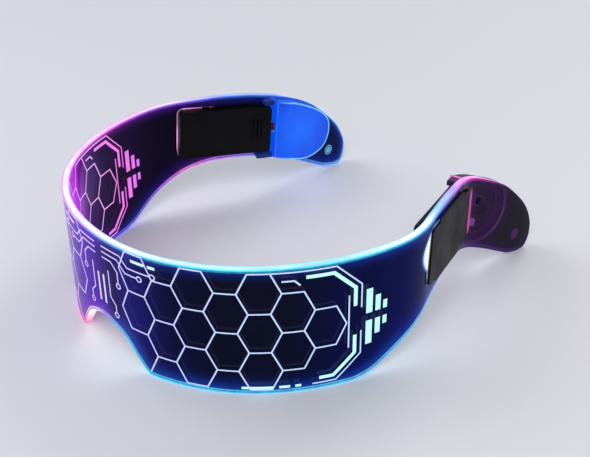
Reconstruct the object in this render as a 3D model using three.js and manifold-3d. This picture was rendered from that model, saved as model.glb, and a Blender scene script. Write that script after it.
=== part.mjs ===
// Light up party glasses: one clear acrylic sheet, bent into a visor with temples,
// with a battery case and a lamp unit in each temple that light the sheet from its cut edges.
//
// Flat outlines are drawn on the unrolled sheet: s runs along its middle surface from the nose
// to the wearer's left, h is the height above the table, n is the distance out of the middle
// surface, away from the head. bend() rolls such a solid up along the plan curve.

import * as THREE from 'three';
import { mergeVertices } from 'three/addons/utils/BufferGeometryUtils.js';
import Module from 'manifold-3d';

const wasm = await Module();
wasm.setup();

// Driving dimensions, in millimetres, and turns in degrees
const tailReach = 47.4; // along the sheet, from the battery case's rear end to a temple tip
const sheetHeight = 50.8;
const sheetThickness = 3;
const noseRadius = 99;
const noseTurn = 7.1;
const browRadius = 68.2;
const browTurn = 44.9;
const sideRadius = 84.5;
const sideTurn = 32.3;
const cornerRadius = 34.5;
const cornerTurn = 27.7;
const caseFrontBend = 0.83; // how far the battery case's front end lies over the corner's bend
const caseRearBend = 5.57; // and its rear end over the ear's bend
const earRadius = 40.2;
const earTurn = 21.8; // bends back, out of the head

const noseHalfWidth = 22;
const noseHeight = 15.8;
const lobeEnd = 95; // the lens lobes rest on the table from the nose notch to here
const windowSill = 3.1; // sheet left between the arch and the window
const tipRestInset = 8; // from a temple tip forward to the start of its rest
const tipRestLength = 3.5;
const tipRise = 7;

const cellDiameter = 20;
const cellThickness = 3.2;
const seat = 0.3; // gap between two pieces that rest on each other
const wellClearance = 0.2;
const caseWall = 0.8;
const endWall = 0.85;
const windowClearance = 0.3;
const windowCorner = 2.2;
const unitDrop = 16.2; // the window's centre under sheetHeight
const unitTilt = 4.2; // the window's long axis drops to the rear

const floorThickness = 1.5;
const floorGroove = 1;
const foil = 0.3; // contacts and the flexible strip
const caseProud = 0.9; // of the sheet's outer face
const doorThickness = 1;

const lampLength = 31.6;
const lampOver = 2.4; // how far the lamp unit stands up past the battery case
const lampUnder = 7.2; // and reaches down past it
const lampWall = 1.2;
const lampGap = 0.5; // between the battery case and the lamp housing
const lampDepth = 4.1;
const diffuserThickness = 1;
const boardThickness = 0.8;

const buttonInset = 8.8; // from the lamp unit's front edge, on the window's axes
const buttonHeight = 2.6;
const buttonDiameter = 3;
const buttonProud = 0.8;
const buttonTravel = 0.6;
const buttonClearance = 0.3;

const cordHoleInset = 10.8; // from a temple tip
const cordHoleHeight = 9.4;
const cordHoleDiameter = 2.4;
const countersinkDiameter = 4.6;

const overrun = 2; // how far a cutter runs past the face that it opens

// Stretches of the sheet between the steps at which it is faceted
const noseStep = 1.4;
const lobeStep = 3.2;
const archStep = 2.7;
const tipStep = 0.9;

// Shares of sheetReach and sheetHeight
const topEdgeShares = [
  [-0.09, 0.969], [0, 0.961], [0.09, 0.969], [0.18, 0.98], [0.3, 0.988], [0.42, 0.989],
  [0.53, 0.991], [0.62, 0.998], [0.685, 0.996], [0.721, 0.984], [0.763, 0.963], [0.808, 0.915],
  [0.863, 0.807], [0.907, 0.697], [0.945, 0.559], [0.976, 0.417], [0.994, 0.275], [1, 0.187],
];
// Shares of noseHalfWidth and noseHeight
const noseShares = [
  [-0.14, 0.965], [0, 1], [0.14, 0.965], [0.3, 0.895], [0.468, 0.78], [0.68, 0.465],
  [0.86, 0.165], [0.94, 0.05], [1, 0],
];
// Shares of the stretch from the lobe's end to the tip's rest, and of archHeight
const archShares = [
  [0, 0], [0.057, 0.089], [0.109, 0.255], [0.164, 0.44], [0.233, 0.64], [0.29, 0.8],
  [0.34, 0.905], [0.405, 0.985], [0.47, 1], [0.53, 0.985], [0.612, 0.931], [0.701, 0.782],
  [0.804, 0.505], [0.887, 0.248], [0.944, 0.084], [1, 0],
];
// Shares of the stretch behind the tip's rest, and of tipRise
const tipShares = [[0, 0], [0.35, 0.08], [0.65, 0.29], [0.9, 0.65], [1, 1]];
// Shares of lampLength and lampHeight, from the foot of the lamp unit's straight front edge,
// over the top and round the rear to the foot again
const lampShares = [
  [0, 1], [0.342, 0.905], [0.642, 0.782], [0.867, 0.646], [0.965, 0.535], [1, 0.427],
  [0.991, 0.285], [0.905, 0.12], [0.712, 0.02], [0.516, 0], [0.26, 0.054], [0, 0.146],
];

const radians = THREE.MathUtils.degToRad;
const halfSheet = sheetThickness / 2;

const wellDiameter = cellDiameter + 2 * wellClearance;
const cellPitch = cellDiameter + seat;
const caseLength = cellPitch + wellDiameter + 2 * endWall;
const caseHeight = wellDiameter + 2 * caseWall;
const windowLength = caseLength + 2 * windowClearance;
const windowHeight = caseHeight + 2 * windowClearance;
const buttonHole = buttonDiameter + 2 * buttonClearance;

const unitHeight = sheetHeight - unitDrop;
const archHeight = unitHeight - windowHeight / 2 - windowSill;
const lampHeight = caseHeight + lampOver + lampUnder;
const lampTop = caseHeight / 2 + lampOver; // over the window's long axis
const lampFront = caseLength / 2 + lampGap;
const buttonAlong = lampFront + buttonInset;

// Plan curve: a chain of arcs, as [length, turn in radians]
const planRuns = [
  [noseRadius * radians(noseTurn), radians(noseTurn)],
  [browRadius * radians(browTurn), radians(browTurn)],
  [sideRadius * radians(sideTurn), radians(sideTurn)],
  [cornerRadius * radians(cornerTurn), radians(cornerTurn)],
  [caseLength - caseFrontBend - caseRearBend, 0],
  [earRadius * radians(earTurn), -radians(earTurn)],
  [tailReach, 0],
];

// Middle surface at s on the wearer's left: x, y and the heading of the sheet
function planAt(s) {
  const at = { x: 0, y: 0, heading: 0 };
  let left = s;
  for (const [length, fullTurn] of planRuns) {
    const run = Math.min(left, length);
    const turn = fullTurn * run / length;
    const chord = turn === 0 ? run : run * Math.sin(turn / 2) / (turn / 2);
    at.x += chord * Math.cos(at.heading + turn / 2);
    at.y += chord * Math.sin(at.heading + turn / 2);
    at.heading += turn;
    left -= run;
  }
  return at;
}

const cornerEnd = planRuns.slice(0, 4).reduce((sum, [length]) => sum + length, 0);
const bendStart = cornerEnd + planRuns[4][0];
const bendEnd = bendStart + planRuns[5][0];
const unitAlong = cornerEnd + caseLength / 2 - caseFrontBend; // the window's centre
const sheetReach = unitAlong + caseLength / 2 + tailReach; // from the nose to a temple tip
const tipRestStart = sheetReach - tipRestInset;
const tipRestEnd = tipRestStart + tipRestLength;
const cordHoleAlong = sheetReach - cordHoleInset;

// Steps along one half of the sheet, from the nose to the tip
function steps(from, to, step) {
  const count = Math.max(1, Math.round((to - from) / step));
  return Array.from({ length: count }, (_, i) => from + (to - from) * i / count);
}
const halfStations = [
  ...steps(0, noseHalfWidth, noseStep),
  ...steps(noseHalfWidth, lobeEnd, lobeStep),
  ...steps(lobeEnd, cornerEnd, archStep),
  ...steps(cornerEnd, bendStart, archStep + lobeStep / 2),
  ...steps(bendStart, bendEnd, archStep),
  ...steps(bendEnd, tipRestStart, archStep),
  ...steps(tipRestStart, tipRestEnd, tipRestLength),
  ...steps(tipRestEnd, sheetReach, tipStep),
  sheetReach,
];
const stations = [...halfStations.slice(1).reverse().map((s) => -s), ...halfStations];

// The sheet's frames at the stations; between two stations the sheet is flat
const frames = stations.map((s) => {
  const { x, y, heading } = planAt(Math.abs(s));
  const side = s < 0 ? -1 : 1;
  return {
    s,
    middle: new THREE.Vector2(side * x, y),
    outward: new THREE.Vector2(side * Math.sin(heading), -Math.cos(heading)),
  };
});

function sheetPoint(s, h, n) {
  let i = frames.findIndex((frame) => frame.s >= s);
  if (i < 0) i = frames.length - 1;
  i = Math.max(i, 1);
  const [before, after] = [frames[i - 1], frames[i]];
  const share = (s - before.s) / (after.s - before.s);
  const middle = before.middle.clone().lerp(after.middle, share);
  const outward = before.outward.clone().lerp(after.outward, share);
  return new THREE.Vector3(middle.x + n * outward.x, middle.y + n * outward.y, h);
}

// Solids and meshes; weld is the distance at which two points are one
const weld = sheetThickness * 1e-4;

const meshOf = (points, faces) => (
  new THREE.BufferGeometry().setFromPoints(points).setIndex(faces.flat()));

// The points of a closed mesh and its faces, without those that a weld closes up
function welded(geometry) {
  const bare = geometry.clone();
  bare.deleteAttribute('normal');
  bare.deleteAttribute('uv');
  const { attributes: { position }, index } = mergeVertices(bare, weld);
  const points = Array.from({ length: position.count }, (_, i) => (
    new THREE.Vector3().fromBufferAttribute(position, i)));
  const faces = [];
  for (let i = 0; i < index.count; i += 3) {
    const face = [index.getX(i), index.getX(i + 1), index.getX(i + 2)];
    if (new Set(face).size === 3) faces.push(face);
  }
  return { points, faces };
}

function toSolid(geometry) {
  const { points, faces } = welded(geometry);
  const vertProperties = new Float32Array(points.flatMap((point) => point.toArray()));
  const triVerts = new Uint32Array(faces.flat());
  return new wasm.Manifold(new wasm.Mesh({ numProp: 3, vertProperties, triVerts }));
}

const cleaned = (geometry) => {
  const { points, faces } = welded(geometry);
  return meshOf(points, faces);
};

function toGeometry(solid) {
  const mesh = solid.getMesh();
  const geometry = new THREE.BufferGeometry();
  geometry.setAttribute('position', new THREE.BufferAttribute(mesh.vertProperties, 3));
  geometry.setIndex(new THREE.BufferAttribute(mesh.triVerts, 1));
  return cleaned(geometry);
}

function combine(geometries, cutters = []) {
  let solid = toSolid(geometries[0]);
  for (const extra of geometries.slice(1)) solid = solid.add(toSolid(extra));
  for (const cutter of cutters) solid = solid.subtract(toSolid(cutter));
  return toGeometry(solid);
}

// Outlines, in the plane of the sheet
function roundedBox(length, height, radius, x = 0, z = 0) {
  const [right, top] = [length / 2, height / 2];
  const shape = new THREE.Shape();
  shape.absarc(x + right - radius, z - top + radius, radius, -Math.PI / 2, 0);
  shape.absarc(x + right - radius, z + top - radius, radius, 0, Math.PI / 2);
  shape.absarc(x - right + radius, z + top - radius, radius, Math.PI / 2, Math.PI);
  shape.absarc(x - right + radius, z - top + radius, radius, Math.PI, 1.5 * Math.PI);
  return shape;
}

function disc(diameter, x = 0, z = 0) {
  return new THREE.Shape().absarc(x, z, diameter / 2, 0, 2 * Math.PI);
}

// The same outline, moved in by a distance; for outlines without inward corners
function inset(points, distance) {
  const count = points.length;
  const turnsLeft = !THREE.ShapeUtils.isClockWise(points);
  const lines = points.map((point, i) => {
    const along = points[(i + 1) % count].clone().sub(point).normalize();
    const inward = new THREE.Vector2(-along.y, along.x).multiplyScalar(turnsLeft ? 1 : -1);
    return { start: point.clone().addScaledVector(inward, distance), along };
  });
  return lines.map((line, i) => {
    const previous = lines[(i + count - 1) % count];
    const cross = previous.along.cross(line.along);
    if (Math.abs(cross) < 1e-6) return line.start.clone();
    const reach = line.start.clone().sub(previous.start).cross(line.along) / cross;
    return previous.start.clone().addScaledVector(previous.along, reach);
  });
}

// A plate in a unit's own frame: x to the rear, y towards the head, z up
function plate(shape, low, high, curveSegments = 8) {
  const depth = high - low;
  const geometry = new THREE.ExtrudeGeometry(shape, { depth, bevelEnabled: false, curveSegments });
  return geometry.translate(0, 0, -high).rotateX(Math.PI / 2);
}

function block(length, depth, height, x, y, z) {
  return new THREE.BoxGeometry(length, depth, height).translate(x, y, z);
}

function lathe(profile, segments) {
  const points = profile.map(([radius, along]) => new THREE.Vector2(radius, along));
  return new THREE.LatheGeometry(points, segments);
}

// Cuts every face of a closed mesh where it crosses the given values of s; a point within
// snap of such a place counts as on it
const snap = sheetThickness * 0.03;

function slice(geometry, cuts) {
  const { points, faces: uncut } = welded(geometry);
  let faces = uncut;
  for (const cut of cuts) {
    const sides = points.map(({ x }) => (Math.abs(x - cut) < snap ? 0 : Math.sign(x - cut)));
    const crossings = new Map();
    const crossing = (a, b) => {
      const key = a < b ? `${a} ${b}` : `${b} ${a}`;
      if (!crossings.has(key)) {
        const share = (cut - points[a].x) / (points[b].x - points[a].x);
        points.push(points[a].clone().lerp(points[b], share));
        crossings.set(key, points.length - 1);
      }
      return crossings.get(key);
    };
    faces = faces.flatMap((face) => {
      if (face.every((a) => sides[a] >= 0) || face.every((a) => sides[a] <= 0)) return [face];
      const parts = [[], []];
      face.forEach((a, i) => {
        const b = face[(i + 1) % 3];
        if (sides[a] <= 0) parts[0].push(a);
        if (sides[a] >= 0) parts[1].push(a);
        if (sides[a] * sides[b] < 0) parts.forEach((part) => part.push(crossing(a, b)));
      });
      return parts.flatMap((part) => (
        part.slice(2).map((_, i) => [part[0], part[i + 1], part[i + 2]])));
    });
  }
  return meshOf(points, faces);
}

// Moves a solid that is drawn flat, with s along x, h along y and n along z, onto the sheet
function wrap(flat) {
  const { points, faces } = welded(flat);
  return meshOf(points.map(({ x, y, z }) => sheetPoint(x, y, z)), faces);
}

// The same, with the faces cut first so that they follow the sheet round its bends
function bend(flat) {
  flat.computeBoundingBox();
  const { min, max } = flat.boundingBox;
  const inStraight = (s) => s > cornerEnd && s < bendStart || s > bendEnd;
  const cuts = stations.filter((s) => s > min.x && s < max.x && !inStraight(Math.abs(s)));
  return wrap(slice(flat, cuts));
}

// A plate on the unrolled sheet, between two distances n
function flatPlate(shape, low, high, curveSegments = 8) {
  const depth = high - low;
  const flat = new THREE.ExtrudeGeometry(shape, { depth, bevelEnabled: false, curveSegments });
  return flat.translate(0, 0, low);
}

// A point of the window's frame, on the unrolled sheet
function onSheet(x, z) {
  const tilt = radians(unitTilt);
  return new THREE.Vector2(
    unitAlong + x * Math.cos(tilt) + z * Math.sin(tilt),
    unitHeight - x * Math.sin(tilt) + z * Math.cos(tilt),
  );
}
const outlineOnSheet = (points) => new THREE.Shape(points.map(({ x, y }) => onSheet(x, y)));

// Visor band
function edgeHeight(shares, from, to, height) {
  const points = shares.map(([along, up]) => (
    new THREE.Vector3(from + along * (to - from), up * height, 0)));
  const line = new THREE.CatmullRomCurve3(points).getPoints(16 * points.length);
  return (s) => {
    const i = Math.max(1, line.findIndex(({ x }) => x >= s - sheetReach * 1e-9));
    const share = (s - line[i - 1].x) / (line[i].x - line[i - 1].x);
    return THREE.MathUtils.lerp(line[i - 1].y, line[i].y, share);
  };
}
const topHeight = edgeHeight(topEdgeShares, 0, sheetReach, sheetHeight);
const noseEdge = edgeHeight(noseShares, 0, noseHalfWidth, noseHeight);
const archEdge = edgeHeight(archShares, lobeEnd, tipRestStart, archHeight);
const tipEdge = edgeHeight(tipShares, tipRestEnd, sheetReach, tipRise);

function bottomHeight(s) {
  if (s < noseHalfWidth) return noseEdge(s);
  if (s > lobeEnd && s < tipRestStart) return archEdge(s);
  return s > tipRestEnd ? tipEdge(s) : 0;
}

// The sheet as a loft of its cross-sections, one at each station
function bentSheet() {
  const points = stations.flatMap((s) => {
    const [low, high] = [bottomHeight(Math.abs(s)), topHeight(Math.abs(s))];
    return [[low, -halfSheet], [low, halfSheet], [high, halfSheet], [high, -halfSheet]]
      .map(([h, n]) => sheetPoint(s, h, n));
  });
  const last = points.length - 4;
  const faces = [0, 1, 2, 0, 2, 3, last, last + 2, last + 1, last, last + 3, last + 2];
  for (let ring = 0; ring < last; ring += 4) {
    for (let i = 0; i < 4; i += 1) {
      const [a, b] = [ring + i, ring + (i + 1) % 4];
      faces.push(a, b + 4, b, a, a + 4, b + 4);
    }
  }
  return new THREE.BufferGeometry().setFromPoints(points).setIndex(faces);
}

// A geometry on the right half, from the same one on the left half
function mirrored(geometry) {
  const { points, faces } = welded(geometry);
  return meshOf(points, faces.map(([a, b, c]) => [b, a, c])).scale(-1, 1, 1);
}

function visorBand() {
  const reach = halfSheet + overrun;
  const windowPoints = roundedBox(windowLength, windowHeight, windowCorner).getPoints(5);
  const button = onSheet(buttonAlong, buttonHeight);
  const sinkRadius = countersinkDiameter / 2;
  const sink = lathe([
    [0, halfSheet - sinkRadius], [sinkRadius + overrun, halfSheet + overrun],
    [0, halfSheet + overrun],
  ], 24);
  sink.rotateX(-Math.PI / 2).translate(cordHoleAlong, cordHoleHeight, 0);
  const cutters = [
    flatPlate(outlineOnSheet(windowPoints), -reach, reach),
    flatPlate(disc(buttonHole, button.x, button.y), -reach, reach, 12),
    flatPlate(disc(cordHoleDiameter, cordHoleAlong, cordHoleHeight), -reach, reach, 12),
    sink,
  ].map(wrap);
  return combine([bentSheet()], [...cutters, ...cutters.map(mirrored)]);
}

// Battery case: levels towards the head, from the case's outer face
const caseOuter = -halfSheet - caseProud;
const caseFloor = caseOuter + floorThickness;
const contactLevel = caseFloor + seat;
const cellLevel = contactLevel + foil + seat;
const bridgeLevel = cellLevel + cellThickness + seat;
const caseRim = bridgeLevel + foil;
const doorLevel = caseRim + seat;
const grooveFloor = caseFloor - floorGroove;
const stripLevel = grooveFloor + seat;

const stripWidth = 4;
const stripClearance = 0.3;
const ledDepth = 1.6; // along the light's way
const ledWidth = 2.8;
const cornerWall = 1.1; // left between a front lamp or a post and the case's long sides
const ledSetback = 0.3;
const ledFront = -caseLength / 2 + ledSetback;
const pocketHeight = ledWidth + 2 * stripClearance;
const ledHeightOffset = (caseHeight - pocketHeight) / 2 - cornerWall;
const ledLow = stripLevel + foil + seat;
const bridgeWidth = 6;
const postDiameter = 1.8;
const postOffset = caseHeight / 2 - cornerWall - postDiameter / 2 - seat;
const postLength = 2.5;
const flangeLength = 28;
const flangeThickness = caseProud - seat;
const flangeOverlap = 1.2;
const toothWidth = 3;
const toothDepth = 0.6;
const toothReach = 0.9;
const toothOffset = 9;
const caseCorner = windowCorner - windowClearance;

function batteryCase() {
  const body = plate(roundedBox(caseLength, caseHeight, caseCorner), caseOuter, caseRim, 5);
  const flangeHeight = windowHeight + 2 * flangeOverlap;
  const flange = plate(
    roundedBox(flangeLength, flangeHeight, flangeOverlap), caseOuter, caseOuter + flangeThickness, 4);
  const toothLow = halfSheet + seat;
  const teeth = [-toothOffset, toothOffset].map((x) => block(
    toothWidth, toothDepth, caseHeight + 2 * toothReach, x, toothLow + toothDepth / 2, 0));
  const wells = [-cellPitch / 2, cellPitch / 2].map((x) => (
    plate(disc(wellDiameter, x), caseFloor, caseRim + overrun, 20)));
  const bridgeBed = plate(
    roundedBox(cellPitch + bridgeWidth + 2 * seat, bridgeWidth + 2 * seat, bridgeWidth / 2),
    bridgeLevel - seat, caseRim + overrun, 4);
  const grooveWidth = stripWidth + 2 * stripClearance;
  const barWidth = ledDepth + 2 * stripClearance;
  const grooveDepth = floorGroove + overrun;
  const groove = block(
    caseLength / 2 - ledFront, grooveDepth, grooveWidth,
    (caseLength / 2 + ledFront) / 2, grooveFloor + grooveDepth / 2, 0);
  const ledPocketDepth = ledDepth + ledSetback + stripClearance + overrun;
  const pocketTop = ledLow + ledDepth + stripClearance;
  const bar = block(
    barWidth, ledLow - grooveFloor, 2 * ledHeightOffset + pocketHeight,
    ledFront + ledDepth / 2, (ledLow + grooveFloor) / 2, 0);
  const pockets = [-ledHeightOffset, ledHeightOffset].map((z) => block(
    ledPocketDepth, pocketTop - grooveFloor, pocketHeight,
    ledFront + ledDepth + stripClearance - ledPocketDepth / 2, (pocketTop + grooveFloor) / 2, z));
  const slotDepth = caseRim - grooveFloor + overrun;
  const slotLength = endWall + seat + overrun;
  const slot = block(
    slotLength, slotDepth, grooveWidth,
    (caseLength - slotLength) / 2 + overrun, grooveFloor + slotDepth / 2, 0);
  const postHoles = [-postOffset, postOffset].map((z) => (
    plate(disc(postDiameter + 2 * seat, 0, z), doorLevel - postLength - seat, caseRim + overrun, 6)));
  return combine(
    [body, flange, ...teeth], [...wells, bridgeBed, groove, bar, ...pockets, slot, ...postHoles]);
}

const ribWidth = 0.8;
const ribHeight = 0.4;
const ribLength = 10;
const ribPitch = 2;
const ribInset = 8.2; // from the door's rear end
const ribStart = caseLength / 2 - ribInset;

function batteryDoor() {
  const cover = plate(
    roundedBox(caseLength, caseHeight, caseCorner), doorLevel, doorLevel + doorThickness, 5);
  const ribs = [0, 1, 2].map((i) => block(
    ribWidth, ribHeight + doorThickness / 2, ribLength, ribStart + i * ribPitch,
    doorLevel + (doorThickness + ribHeight + doorThickness / 2) / 2 + doorThickness / 4, 0));
  const posts = [-postOffset, postOffset].map((z) => (
    plate(disc(postDiameter, 0, z), doorLevel - postLength, doorLevel + doorThickness / 2, 6)));
  return combine([cover, ...ribs, ...posts]);
}

function coinCell(x) {
  const [rim, cap] = [cellDiameter / 2, cellDiameter * 0.44];
  const crimp = cellThickness * 0.12;
  const profile = [
    [0, 0], [rim - crimp, 0], [rim, crimp], [rim, cellThickness - 2 * crimp],
    [rim - crimp, cellThickness - crimp], [cap, cellThickness - crimp], [cap - crimp, cellThickness],
    [0, cellThickness],
  ];
  return lathe(profile, 32).translate(x, cellLevel, 0);
}

const contactLength = 13;
const contactWidth = 5;
const tongueLength = 7;
const tongueWidth = 2;
const tongueSlit = 0.6;

// A leaf under a cell: a strip with a sprung tongue cut free on three sides
function cellContact(x) {
  const leaf = roundedBox(contactLength, contactWidth, contactWidth / 4, x);
  const [right, half] = [x + tongueLength / 2, tongueWidth / 2];
  const left = x - tongueLength / 2;
  leaf.holes.push(new THREE.Path([
    [left, -half - tongueSlit], [right + tongueSlit, -half - tongueSlit],
    [right + tongueSlit, half + tongueSlit], [left, half + tongueSlit], [left, half],
    [right, half], [right, -half], [left, -half],
  ].map(([px, pz]) => new THREE.Vector2(px, pz))));
  return plate(leaf, contactLevel, contactLevel + foil, 4);
}

function bridgeContact() {
  const shape = roundedBox(cellPitch + bridgeWidth, bridgeWidth, bridgeWidth / 2);
  return plate(shape, bridgeLevel, bridgeLevel + foil, 6);
}

const stripRise = 3.45; // from the case's floor to the circuit board's level
const stripTail = 8;
const stripTailRise = 0.75;

// The flexible strip runs under the cells from the front lamps to the rear, climbs through
// the slot in the rear wall and reaches into the lamp housing
function flexStrip() {
  const climb = caseLength / 2 - foil;
  const low = stripLevel;
  const outline = new THREE.Shape([
    [ledFront, low], [climb + foil / 2, low], [climb + foil / 2, low + stripRise],
    [climb + stripTail, low + stripRise + stripTailRise],
    [climb + stripTail, low + stripRise + stripTailRise + foil],
    [climb - foil / 2, low + stripRise + foil], [climb - foil / 2, low + foil],
    [ledFront, low + foil],
  ].map(([x, y]) => new THREE.Vector2(x, y)));
  const run = new THREE.ExtrudeGeometry(outline, { depth: stripWidth, bevelEnabled: false });
  run.translate(0, 0, -stripWidth / 2);
  const bar = block(
    ledDepth, foil, 2 * ledHeightOffset + ledWidth, ledFront + ledDepth / 2, low + foil / 2, 0);
  return combine([run, bar]);
}

// A lamp with its lens to the front; the lens is a shallow dome on a square body
function led(x, y, z) {
  const dome = ledDepth * 0.2;
  const profile = [
    [0, -dome], [ledDepth * 0.25, -dome * 0.8], [ledDepth * 0.4, 0], [ledDepth * 0.4, dome],
    [0, dome],
  ];
  const lens = lathe(profile, 12).rotateZ(-Math.PI / 2).translate(x + dome, y, z);
  const body = block(ledDepth - dome, ledDepth, ledWidth, x + (ledDepth + dome) / 2, y, z);
  return combine([body, lens]);
}

const frontLed = (z) => led(ledFront, ledLow + ledDepth / 2, z);

// Lamp unit, behind the battery case, on the sheet's inner face
const lampLow = halfSheet + seat;
const lampRim = lampLow + lampDepth;
const diffuserLevel = lampRim + seat;
const ledgeWidth = 1.6;
const ledgeDepth = 0.7;
const boardLevel = lampRim - boardThickness - 0.5 * diffuserThickness;
const ledgeLow = boardLevel - seat - ledgeDepth;
const lipWidth = 0.8;
const boardFrontInset = 6.5; // from the lamp unit's front edge
const boardFront = lampFront + boardFrontInset;
const earWidth = 2.2;
const earGap = 0.6;
const upperEarReach = 4.6;
const lowerEarReach = 7.2;

function lampOutline() {
  const points = lampShares.map(([along, up]) => new THREE.Vector2(
    lampFront + along * lampLength, lampTop - (1 - up) * lampHeight));
  return new THREE.SplineCurve(points).getPoints(22).reverse();
}

// The wall between two insets of the outline, still flat
function lampRing(outer, inner, low, high) {
  const shape = outlineOnSheet(inset(lampOutline(), outer));
  shape.holes.push(outlineOnSheet(inset(lampOutline(), inner)));
  return flatPlate(shape, -high, -low);
}

function ear(reach, side) {
  const z = side * (caseHeight / 2 + earGap + earWidth / 2);
  const overlap = lampWall;
  const length = reach + overlap;
  const shape = roundedBox(length, earWidth, earWidth * 0.3, lampFront + overlap - length / 2, z);
  return flatPlate(outlineOnSheet(shape.getPoints(3)), -lampRim, -lampLow);
}

function lampHousing() {
  const wall = lampRing(0, lampWall, lampLow, lampRim);
  const ledge = lampRing(lampWall / 2, lampWall + ledgeWidth, ledgeLow, ledgeLow + ledgeDepth);
  const notchWidth = stripWidth + 4 * stripClearance;
  const notchLength = lampWall + ledgeWidth + 2 * overrun;
  const notch = roundedBox(
    notchLength, notchWidth, stripClearance, lampFront + notchLength / 2 - overrun, 0);
  const cutter = flatPlate(outlineOnSheet(notch.getPoints(2)), -lampRim - overrun, -lampLow + overrun);
  return bend(combine([wall, ledge, ear(upperEarReach, 1), ear(lowerEarReach, -1)], [cutter]));
}

function lampDiffuser() {
  const cover = flatPlate(
    outlineOnSheet(lampOutline()), -diffuserLevel - diffuserThickness, -diffuserLevel);
  const lipOuter = lampWall + seat;
  const lip = lampRing(
    lipOuter, lipOuter + lipWidth, boardLevel + boardThickness + seat,
    diffuserLevel + diffuserThickness / 2);
  return bend(combine([cover, lip]));
}

// Frame of the circuit board: its place on the window's axes
const boardInset = 15.5; // from the lamp unit's front edge
const boardAlong = lampFront + boardInset;
const boardHeight = -4;

// An outline without what lies in front of a given place
function cutFront(points, front) {
  return points.flatMap((point, i) => {
    const next = points[(i + 1) % points.length];
    const kept = point.x >= front ? [point] : [];
    if ((point.x - front) * (next.x - front) < 0) {
      kept.push(point.clone().lerp(next, (front - point.x) / (next.x - point.x)));
    }
    return kept;
  });
}

function circuitBoard() {
  const middle = new THREE.Vector2(boardAlong, boardHeight);
  const points = cutFront(inset(lampOutline(), lampWall + seat), boardFront);
  const shape = new THREE.Shape(points.map((point) => point.sub(middle)));
  return plate(shape, boardLevel, boardLevel + boardThickness);
}

const chipLength = 5;
const chipWidth = 4;
const chipHeight = 1.2;
const chipAlong = 4;
const chipUp = -2;

function controllerChip() {
  return block(chipLength, chipHeight, chipWidth, chipAlong, boardLevel - seat - chipHeight / 2, chipUp);
}

const tailLedAlong = -3;
const tailLedUp = -6;
const tailLed = () => led(tailLedAlong, boardLevel - seat - ledDepth / 2, tailLedUp);

const switchSize = 3.6;
const pusherDiameter = 1.4;
const buttonX = buttonAlong - boardAlong;
const buttonZ = buttonHeight - boardHeight;
const buttonFlange = 4.8;
const flangeDepth = 0.5;
const flangeLevel = halfSheet + seat;
const switchLevel = flangeLevel + flangeDepth + buttonTravel + seat / 3;
const pusherEnd = switchLevel + seat / 2;

function switchBody() {
  const high = boardLevel - seat;
  const square = roundedBox(switchSize, switchSize, switchSize / 8, buttonX, buttonZ);
  const body = plate(square, switchLevel, high, 3);
  const wellEnd = pusherEnd + buttonTravel + seat / 3;
  const well = plate(disc(pusherDiameter + 2 * seat, buttonX, buttonZ), switchLevel - overrun, wellEnd, 6);
  return combine([body], [well]);
}

function buttonCap() {
  const top = -halfSheet - buttonProud;
  const [stem, flange, pusher] = [buttonDiameter / 2, buttonFlange / 2, pusherDiameter / 2];
  const profile = [
    [0, top], [stem * 0.6, top + buttonProud * 0.1], [stem * 0.9, top + buttonProud * 0.35],
    [stem, top + buttonProud * 0.7], [stem, flangeLevel], [flange, flangeLevel],
    [flange, flangeLevel + flangeDepth], [pusher, flangeLevel + flangeDepth], [pusher, pusherEnd],
    [0, pusherEnd],
  ];
  return lathe(profile, 20).translate(buttonX, 0, buttonZ);
}

// Materials
const finish = (color, roughness, metalness = 0, more = {}) => (
  new THREE.MeshStandardMaterial({ color, roughness, metalness, ...more }));
const acrylic = () => finish(0xaebeff, 0.08, 0, { transparent: true, opacity: 0.35 });
const blackPlastic = () => finish(0x08080c, 0.45);
const steel = () => finish(0xc8ccd2, 0.25, 1);
const tin = () => finish(0xd0cdc4, 0.35, 1);
const copperFoil = () => finish(0xb87a3c, 0.4, 0.8);
const frosted = () => finish(0x2a78ff, 0.35, 0, { transparent: true, opacity: 0.8 });
const boardGreen = () => finish(0x0d4a2c, 0.5);
const chipBlack = () => finish(0x101012, 0.6);
const lensWhite = () => finish(0xf2f6ff, 0.2);

// Assembly
const glasses = new THREE.Group();
const tip = planAt(sheetReach);
const rearmost = tip.y + halfSheet * Math.abs(Math.cos(tip.heading));
glasses.position.y = (halfSheet - rearmost) / 2;

function addPiece(parent, name, geometry, material) {
  const mesh = new THREE.Mesh(cleaned(geometry), material);
  mesh.name = name;
  parent.add(mesh);
}

// A frame on the middle surface, at a place on the window's axes
function unitFrame(along, up, side) {
  const place = onSheet(along, up);
  const { x, y, heading } = planAt(place.x);
  const upright = new THREE.Group();
  upright.position.set(side * x, y, place.y);
  upright.rotation.z = side * heading;
  const tilted = new THREE.Group();
  tilted.rotation.y = side * radians(unitTilt);
  upright.add(tilted);
  glasses.add(upright);
  return tilted;
}

const bentPieces = [
  ['lamp_housing', lampHousing(), frosted],
  ['lamp_diffuser', lampDiffuser(), frosted],
];
const casePieces = [
  ['battery_case', batteryCase(), blackPlastic],
  ['battery_door', batteryDoor(), blackPlastic],
  ['coin_cell_front', coinCell(-cellPitch / 2), steel],
  ['coin_cell_rear', coinCell(cellPitch / 2), steel],
  ['cell_contact_front', cellContact(-cellPitch / 2), tin],
  ['cell_contact_rear', cellContact(cellPitch / 2), tin],
  ['bridge_contact', bridgeContact(), tin],
  ['flex_strip', flexStrip(), copperFoil],
  ['led_upper', frontLed(ledHeightOffset), lensWhite],
  ['led_lower', frontLed(-ledHeightOffset), lensWhite],
];
const boardPieces = [
  ['circuit_board', circuitBoard(), boardGreen],
  ['controller_chip', controllerChip(), chipBlack],
  ['led_tail', tailLed(), lensWhite],
  ['switch_body', switchBody(), chipBlack],
  ['button_cap', buttonCap(), blackPlastic],
];

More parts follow.
